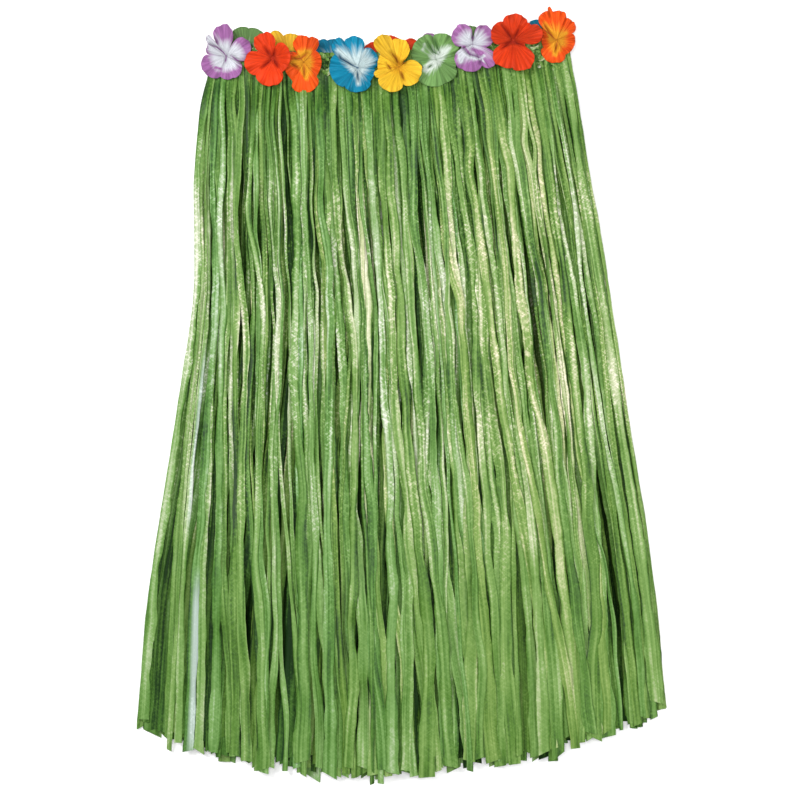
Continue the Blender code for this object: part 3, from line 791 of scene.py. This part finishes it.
# The front's flowers, from left to right, in millimetres. x, y: the throat, from the middle of the waist
# line. shade: how light it is. lift: how unevenly its petals stand. petals, anticlockwise: each one's
# direction in degrees and reach, and those of the notch after it. folds: creases, as lines from the throat.
# stains: an amount of the rim's colour, or of the throat's if negative, its reach, and the line it is along.
Bloom = namedtuple("Bloom", "dye x y shade lift petals folds stains")
FRONT_BLOOMS = (
    Bloom(
        "purple", -169.6, 6.5, 0.96, 2.0,
        ((35, 28.2, 66, 9), (96, 33.5, 126, 17), (130, 29, 144, 24.3), (154, 22.3, 174, 18),
         (218, 28.3, 253, 21), (285, 24.6, 340, 12)),
        (((-17, 12.3), (-9.5, 9.5), (-3.4, 4.8), (0, 0.7)), ((-12.5, 20), (-8.2, 13)),
         ((0, -0.7), (-0.7, -6)), ((5, 1), (15.7, -6.8))),
        ((0.45, 7, (-4, 31), (-2, 21)), (0.45, 4, (-23, -3), (-13, -21)),
         (0.6, 1, (-11, -11.6), (-5.5, -13)), (0.4, 3, (-5, -21), (12, -17)),
         (0.35, 3.5, (12, 20), (24, 6)), (-0.5, 4, (-19, 20), (-15, 8))),
    ),
    Bloom(
        "red", -121.0, 4.5, 0.93, 3.0,
        ((30, 19, 76, 10.5), (118, 27.6, 157, 13), (198, 30, 227, 24), (258, 30.3, 303, 18)),
        (((-8, 10), (-1, 1)), ((2, 6.5), (0.5, 0.5)), ((-11, -10), (-1, -1)), ((5, -9), (1, -1))),
        (),
    ),
    Bloom(
        "orange", -88.7, 0.4, 0.97, 1.5,
        ((3, 18.6, 45, 16.5), (62, 28, 79, 25.5), (94, 27.8, 128, 12), (205, 21.3, 240, 23.5),
         (266, 32.3, 312, 20)),
        (((-12.5, 4), (-3, 4), (3, 9)), ((0.7, -15), (0, -2.7)), ((-14, -1), (-5, -6))),
        ((-0.6, 2.2, (-12.3, -1.4), (2.7, 8.2)), (-0.6, 2.8, (2.7, 9), (1.4, -16.4)),
         (-0.5, 1.3, (-5.5, 10.9), (-4, 8)), (0.5, 5, (-8, -14), (-4, -18))),
    ),
    Bloom(
        "blue", -33.0, -5.6, 1.00, 1.5,
        ((42, 24.5, 70, 20), (98, 32.5, 116, 30.3), (125, 37, 149, 26), (185, 29, 236, 23.3),
         (266, 26, 312, 20.5), (326, 19.5, 358, 17)),
        (((-18.7, 12.8), (-17, 9.5), (-12.5, 7.4), (-5, 3), (1, 0.3)), ((1, -14), (0, -3))),
        ((-0.6, 4, (-20, 17.5), (-2, 2)), (-0.55, 5, (0, 2), (8, 18)), (-0.5, 4, (2, 0), (16, 8)),
         (-0.5, 2.2, (0, -2), (1, -17)), (0.7, 6, (-22, -3), (-8, -9))),
    ),
    Bloom(
        "yellow", 10.1, -4.4, 0.98, 3.2,
        ((-34, 25.8, 32, 5), (38, 5.5, 43, 5.5), (94, 28, 104, 27), (128, 37, 147, 22.5),
         (168, 22, 191.7, 22), (201, 27.4, 211.7, 23), (240, 29.3, 283.7, 18.5)),
        (((-7.8, 14), (-3, 8.5), (1, 2.5)), ((-12, 1.8), (-7.8, -2.6)), ((2.4, -5), (5.4, -14.5)),
         ((4, 3), (8.5, 6))),
        (),
    ),
    Bloom(
        "green", 49.1, 3.3, 1.00, 1.5,
        ((-8, 22, 12, 20.5), (62, 28.5, 98, 23.5), (128, 28, 185, 23), (250, 29, 287, 26),
         (308, 27, 337, 21.5)),
        (((-2.4, 22.2), (3.6, 7.2)), ((-9, 17.4), (-3, 8), (2.4, 5.4)), ((-8.4, -8.4), (-4.2, -5.4)),
         ((-17, -4), (-16, -12))),
        ((-0.6, 3.4, (13, 12), (0, -1), (-11, -11)), (-0.4, 2.5, (-12, 16), (-14, 10)),
         (0.45, 5, (-12, 2), (-20, 4)), (0.4, 4, (10, -4), (4, -12))),
    ),
    Bloom(
        "purple", 87.0, 19.3, 1.00, 2.4,
        ((42, 23.7, 82, 8), (86, 7, 91, 8), (140, 24, 193, 13), (199, 12.5, 205, 13),
         (258, 30, 293, 23.5), (311, 32, 343, 11)),
        (((-9.7, -4.5), (-6, -8.5), (-2.6, -11.4), (2, -12), (7, -14.5), (10, -12.5)), ((0, 10), (0, 4)),
         ((8, -21), (8.8, -16))),
        ((0.75, 4.2, (0, -5), (9, -10.5)), (0.6, 1.2, (-8.8, -3.5), (-3, -10.5)),
         (-1, 1.3, (-9.7, -6.5), (-3, -13.5), (7, -15.5), (11, -13)),
         (-0.7, 2, (-13.2, -7.9), (-12.3, -18.4)), (-0.6, 0.8, (9.2, -16.7), (16.7, -25.5)),
         (0.5, 5, (-3, -24), (14, -24)), (0.4, 5, (-20, 12), (-10, 20)), (0.35, 4, (12, 19), (19, 12))),
    ),
    Bloom(
        "red", 129.1, 22.8, 0.86, 3.0,
        ((12, 30.8, 38, 24), (43, 23.3, 49, 22), (86, 26.5, 121, 20), (153, 24.8, 203, 12),
         (240, 31.5, 268, 29), (293, 34.5, 330, 15), (335, 13, 341, 12)),
        (((-8, -4), (0, -1), (9, -4.5)), ((-11, 14), (-1, 2)), ((7, 12), (1, 2)), ((-12, -9), (-5, -4))),
        (),
    ),
    Bloom(
        "orange", 174.8, 23.7, 1.00, 1.8,
        ((-18, 19.2, 22, 17), (48, 25, 67, 25), (82, 30, 99, 29.3), (103.5, 35.8, 107.5, 31),
         (118, 31.5, 140, 20), (175, 16.3, 208, 16), (262, 24.6, 299, 17.5)),
        (((-15, 19), (-9, 9), (-2, 1)), ((0.5, -2), (-1.5, -12)), ((-8.8, 34), (-7, 24))),
        ((-0.42, 3.6, (-13, 15), (-4, 3)), (-0.4, 1.8, (2, 3), (10, 6.5)),
         (-0.55, 2.6, (-0.5, -3), (-1.8, -16))),
    ),
)

# The back's flowers, from left to right: the dye, and the petals from the node's middle. Only their upper
# edges show from the front.
BACK_BLOOMS = (
    ("green", (20, 24, 38, 22), (62, 30, 84, 28), (104, 30, 128, 22), (190, 23, 235, 19), (280, 23, 330, 19)),
    ("yellow", (20, 22, 55, 19), (86, 28.5, 106, 26), (124, 36, 155, 20), (200, 22, 240, 19),
               (280, 23, 330, 19)),
    ("blue", (20, 23, 50, 22), (84, 26, 106, 25), (124, 29, 160, 20), (200, 23, 240, 19), (290, 23, 330, 19)),
    ("red", (31, 45, 44, 35), (56, 33, 90, 20), (122, 25, 160, 20), (210, 23, 250, 19), (290, 23, 340, 19)),
    ("purple", (10, 22, 45, 19), (74, 27, 98, 18), (150, 16, 185, 16), (220, 22, 255, 19),
               (290, 22, 330, 19)),
    ("green", (10, 22, 52, 20), (79, 31, 100, 20), (150, 22, 185, 19), (220, 22, 255, 19),
              (290, 22, 330, 19)),
    ("orange", (30, 22, 65, 19), (100, 22, 137, 19), (172, 22, 210, 19), (245, 22, 282, 19),
               (318, 22, 354, 19)),
    ("blue", (10, 23, 50, 20), (84, 22, 98, 20), (121, 26.5, 160, 20), (200, 23, 240, 19),
             (290, 23, 330, 19)),
)


def silk_material(name, dye):
    """Dyed silk: a throat colour that runs out into the rim's in rays, with painted shade in the folds and
    painted light and shade along fine pleats.
    """
    made, tree, shader = new_material("silk_" + name, roughness=0.62)
    radius, crease_shade, light = attribute(tree, "petal")
    turn_x, turn_y, seed = attribute(tree, "turn")

    def rays(around, out):
        x = multiply_add(tree, turn_x, around, seed)
        y = multiply(tree, turn_y, around)
        return noise(tree, combine(tree, x, y, multiply(tree, radius, out)))

    streaks = rays(7.0, 1.2)
    fine = rays(24.0, 3.0)
    pushed = multiply_add(tree, calculate(tree, "SUBTRACT", streaks, 0.5), dye.rays, radius)
    share = remap(tree, pushed, dye.start, dye.end)
    colour = mix_colour(tree, share, dye.throat, dye.rim)
    # painted shade in the folds and between the petals
    colour = mix_colour(tree, crease_shade, colour, dye.deep)
    # painted light and shade along fine radial pleats
    shade = remap(tree, fine, 0.3, 0.7, 0.76, 1.12)
    colour = shaded(tree, colour, multiply(tree, shade, light))
    tree.links.new(colour, shader.inputs["Base Color"])
    place = make(tree, "ShaderNodeNewGeometry").outputs["Position"]
    weave = noise(tree, place, scale=1500.0, detail=1.0)
    height = multiply_add(tree, weave, 0.25, fine)
    add_bump(tree, shader, height, strength=0.5, distance=0.0008)
    shader.inputs["Specular IOR Level"].default_value = 0.12
    shader.inputs["Sheen Weight"].default_value = 0.02
    return made


def petal_grid(rings, around, petals, rng):
    """Round a flower's cut shape: share of the radius, direction, place across the petal, how far that is
    from its tip, the petal's number and the distance from the throat in millimetres."""
    radius = ((np.arange(rings) + 1.0) / rings)[:, None]
    angle = np.arange(around) / around * 360.0
    tips, reaches, ends, cuts = np.array(petals, dtype=float).T
    starts = np.append(ends[-1] - 360.0, ends[:-1])
    turned = starts[0] + (angle - starts[0]) % 360.0
    petal = np.clip(np.searchsorted(starts, turned, side="right") - 1, 0, len(petals) - 1)
    place = (turned - starts[petal]) / (ends - starts)[petal]
    before = turned < tips[petal]
    side = np.abs(turned - tips[petal]) / np.where(before, (tips - starts)[petal], (ends - tips)[petal])
    edge = np.where(before, np.roll(cuts, 1)[petal], cuts[petal])
    waves = rng.uniform(0.0, math.tau, (2, len(petals)))[:, petal]
    inner = 1.0 - side**2
    frill = 0.030 * np.sin(15.0 * place + waves[0]) + 0.020 * np.sin(34.0 * place + waves[1])
    reach = edge + (reaches[petal] - edge) * np.sqrt(np.maximum(0.0, inner)) * (1.0 + inner * frill)
    spread = radius * blend(0.8 * reaches.mean(), reach, radius**0.7)
    return radius, np.radians(angle), place, side, petal, spread


def distance_to_line(x, y, line):
    """How far each point is from a line through the points given, and what share along it the nearest is."""
    nearest, share = np.full_like(x, np.inf), np.zeros_like(x)
    for k, (start, end) in enumerate(zip(line, line[1:])):
        run_x, run_y = end[0] - start[0], end[1] - start[1]
        from_x, from_y = x - start[0], y - start[1]
        along = np.clip((from_x * run_x + from_y * run_y) / (run_x**2 + run_y**2), 0.0, 1.0)
        away = np.hypot(from_x - along * run_x, from_y - along * run_y)
        share = np.where(away < nearest, (k + along) / (len(line) - 1.0), share)
        nearest = np.minimum(away, nearest)
    return nearest, share


def near(distance, reach):
    """1 at no distance, and next to nothing beyond twice the reach."""
    return np.exp(-((distance / reach) ** 2))


def close_petals(node, dye, x, y, top, crease_shade, light, shown, angle, seed, finish):
    """Gives a flower's face its cloth's thickness and adds it. shown: the radius that the dye follows."""
    rings, around = top.shape
    count = rings * around
    cloth = np.array((0.0, 0.0, PETAL_CLOTH))
    face = stacked(x, y, top)
    centre = face[0].mean(axis=0)
    face = face.reshape(-1, 3)
    points = np.concatenate((face, face - cloth, [centre, centre - cloth]))
    inner, outer = np.arange(around), (rings - 1) * around + np.arange(around)
    after_inner, after_outer = np.roll(inner, -1), np.roll(outer, -1)
    faces = [
        grid_faces(0, rings, around, closed=True)[:, ::-1],
        grid_faces(count, rings, around, closed=True),
        stacked(outer, outer + count, after_outer + count, after_outer),
        stacked(2 * count, inner, after_inner),
        stacked(2 * count + 1, after_inner + count, inner + count),
    ]
    petal = stacked(shown, crease_shade, light).reshape(-1, 3)
    turn = stacked(np.cos(angle), np.sin(angle), np.full_like(top, seed)).reshape(-1, 3)
    attributes = {
        # the two middle points get painted shade
        "petal": np.concatenate((petal, petal, [(0.0, 0.6, 0.9)] * 2)),
        "turn": np.concatenate((turn, turn, [(0.0, 0.0, seed)] * 2)),
    }
    return add_piece("silk_" + node, points, faces, attributes, finish[dye], [node])


def node_place(node):
    """The middle of a node in the skirt's plane, with its lowest and highest z."""
    low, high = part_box(node)
    return (low.x + high.x) / 2.0 - SHIFT[0], (low.y + high.y) / 2.0 - SHIFT[1], low.z, high.z


def press_folds(folds, x, y, z, crease_shade):
    """Creases a flower along its folds, with the cloth raised beside them and painted shade along each fold.
    x, y: in millimetres.
    """
    for fold in folds:
        away, share = distance_to_line(x, y, fold)
        away = away / MM
        depth = np.sin(math.pi * np.clip(share, 0.06, 0.94)) ** 0.35
        z = z - FOLD_DEPTH * depth * near(away, 1.6 * FOLD_DARK)
        z = z + FOLD_RAISED * depth * near(away - FOLD_ASIDE, FOLD_SPREAD)
        crease_shade = crease_shade + 1.10 * depth * near(away, FOLD_DARK)
    return z, crease_shade


def add_open_flower(number, bloom, finish):
    """A silk flower that stands up like a shallow trumpet, with pleated and ruffled petals."""
    node = f"flower_front_{number}_{bloom.dye}"
    rng = np.random.default_rng(100 + number)
    _, _, base, top_z = node_place(node)
    radius, angle, place, side, petal, spread = petal_grid(OPEN_RINGS, OPEN_AROUND, bloom.petals, rng)
    x, y = spread * np.cos(angle), spread * np.sin(angle)
    inner = 1.0 - side**2
    draws = rng.uniform(-1.0, 1.0, (6, len(bloom.petals)))[:, petal]
    stand, droop, phase, pleat_phase, fine_phase, tone = draws
    ruffle = np.sin(14.0 * place + 3.0 * phase) + 0.5 * np.sin(27.0 * place + 3.0 * fine_phase)
    pleat = np.cos(math.tau * PLEATS * place + 2.0 * pleat_phase * radius)
    cup = top_z - base - OPEN_HEADROOM
    z = base + PETAL_CLOTH + cup * np.clip((radius - 0.10) / 0.90, 0.0, 1.0) ** 0.75
    z = z + OPEN_CROWN * radius * inner - OPEN_NOTCH * radius**0.5 * near(1.0 - side, 0.13)
    z = z + bloom.lift / MM * stand * inner * radius**1.5
    z = z - OPEN_DROOP * (1.0 + droop) * np.clip((radius - 0.65) / 0.35, 0.0, 1.0) ** 2
    z = z + OPEN_RUFFLE * radius**3 * ruffle * (0.3 + inner)
    z = z + OPEN_PLEAT * radius**0.7 * pleat
    # painted light and shade along the pleats and ruffles, with a random tone for each petal
    light = bloom.shade * (1.0 + 0.16 * tone + 0.07 * pleat * radius + 0.12 * ruffle * radius**3)
    # painted shade between the petals and in the throat
    crease_shade = 0.60 * near(1.0 - side, 0.07) * np.clip(1.3 - radius, 0.0, 1.0) + 0.5 * near(radius, 0.06)
    z, crease_shade = press_folds(bloom.folds, x, y, z, crease_shade)
    shown = radius
    for amount, reach, *line in bloom.stains:
        away, _ = distance_to_line(x, y, line)
        shown = shown + amount * np.exp(-((away / reach) ** 1.3))
    x, y, z = (x + bloom.x) / MM, (y + bloom.y) / MM, np.clip(z, base + PETAL_CLOTH, top_z)
    crease_shade = np.clip(crease_shade, 0.0, 1.0)
    return close_petals(node, bloom.dye, x, y, z, crease_shade, light, shown, angle, 7.3 * number, finish)


def add_pressed_flower(number, dye, petals, finish):
    """A silk flower pressed flat between the skirt's back and the surface it lies on."""
    node = f"flower_back_{number}_{dye}"
    rng = np.random.default_rng(200 + number)
    centre_x, centre_y, base, _ = node_place(node)
    radius, angle, place, side, petal, spread = petal_grid(PRESSED_RINGS, PRESSED_AROUND, petals, rng)
    x = spread / MM * np.cos(angle) + centre_x
    y = spread / MM * np.sin(angle) + centre_y
    pleat_phase, wave_phase, tone = rng.uniform(-1.0, 1.0, (3, len(petals)))[:, petal]
    z = base + PRESSED_HEIGHT + PRESSED_CROWN * (1.0 - radius)
    z = z + PRESSED_PLEAT * radius * np.cos(math.tau * PLEATS * place + pleat_phase)
    z = z + PRESSED_WAVE * radius**2 * np.sin(9.0 * place + 3.0 * wave_phase)
    z = np.maximum(z - PRESSED_NOTCH * near(1.0 - side, 0.1) * radius, base + PETAL_CLOTH)
    # painted shade over the whole pressed flower, more between its petals
    crease_shade = 0.12 + 0.5 * near(1.0 - side, 0.08)
    # painted shade over the whole pressed flower, and painted light and shade along its pleats, with a random
    # tone for each petal
    light = 0.86 + 0.10 * tone + 0.14 * np.cos(math.tau * PLEATS * place) * radius
    return close_petals(node, dye, x, y, z, crease_shade, light, radius, angle, 3.1 * number, finish)


def add_all_flowers():
    finish = {name: silk_material(name, dye) for name, dye in DYES.items()}
    made = [add_open_flower(i, bloom, finish) for i, bloom in enumerate(FRONT_BLOOMS, 1)]
    made += [add_pressed_flower(i, dye, petals, finish) for i, (dye, *petals) in enumerate(BACK_BLOOMS, 1)]
    return made


# ---- stage, lights and camera ----

FLOOR_SIDE = 10.0
FLOOR_GREY = 0.93
WORLD_STRENGTH = 0.30
# name, place, what it points at, width and height, watts
LIGHTS = (
    ("key_box", (-0.90, 0.65, 1.80), (0.0, 0.0, 0.0), (0.6, 0.8), 34.0),
    ("right_box", (1.35, 0.10, 1.20), (0.0, 0.0, 0.0), (0.35, 1.2), 15.0),
    ("overhead_box", (0.0, 0.12, 3.3), (0.0, 0.05, 0.0), (0.9, 0.9), 66.0),
)


def add_floor():
    mesh = bpy.data.meshes.new("floor")
    half = FLOOR_SIDE / 2.0
    corners = [(-half, -half, 0.0), (half, -half, 0.0), (half, half, 0.0), (-half, half, 0.0)]
    mesh.from_pydata(corners, [], [(0, 1, 2, 3)])
    finish, _, shader = new_material("floor", roughness=0.8)
    shader.inputs["Base Color"].default_value = (FLOOR_GREY, FLOOR_GREY, FLOOR_GREY, 1.0)
    mesh.materials.append(finish)
    floor = add_object("floor", mesh)


def add_light(name, place, target, size, watts):
    lamp = bpy.data.lights.new(name, "AREA")
    lamp.shape = "RECTANGLE"
    lamp.size, lamp.size_y = size
    lamp.energy = watts
    obj = add_object(name, lamp)
    obj.location = place
    obj.rotation_euler = (Vector(target) - Vector(place)).to_track_quat("-Z", "Y").to_euler()


def add_lights():
    world = bpy.data.worlds.new("studio")
    bpy.context.scene.world = world
    world.use_nodes = True
    background = world.node_tree.nodes["Background"]
    background.inputs["Color"].default_value = (1.0, 1.0, 1.0, 1.0)
    background.inputs["Strength"].default_value = WORLD_STRENGTH
    for light in LIGHTS:
        add_light(*light)


def add_camera():
    data = bpy.data.cameras.new("camera")
    data.sensor_width = SENSOR
    data.lens = SENSOR * CAMERA_HEIGHT / (PHOTO_SIZE * METRES_PER_PIXEL)
    camera = add_object("camera", data)
    x = (PHOTO_SIZE / 2.0 - PHOTO_WAIST[0]) * METRES_PER_PIXEL + SHIFT[0]
    y = (PHOTO_WAIST[1] - PHOTO_SIZE / 2.0) * METRES_PER_PIXEL + SHIFT[1]
    camera.location = (x, y, CAMERA_HEIGHT + CAMERA_FOCUS_PLANE)
    bpy.context.scene.camera = camera


add_floor()
add_lights()
add_camera()
ribbons = add_all_ribbons()
# the raffia without the painted shade of the inner rows
unshaded_raffia = raffia_material("raffia_waistband", 0.0)
waistband = add_waistband(unshaded_raffia)
curls = add_curls(unshaded_raffia)
flowers = add_all_flowers()
bpy.context.scene.view_settings.view_transform = "Standard"
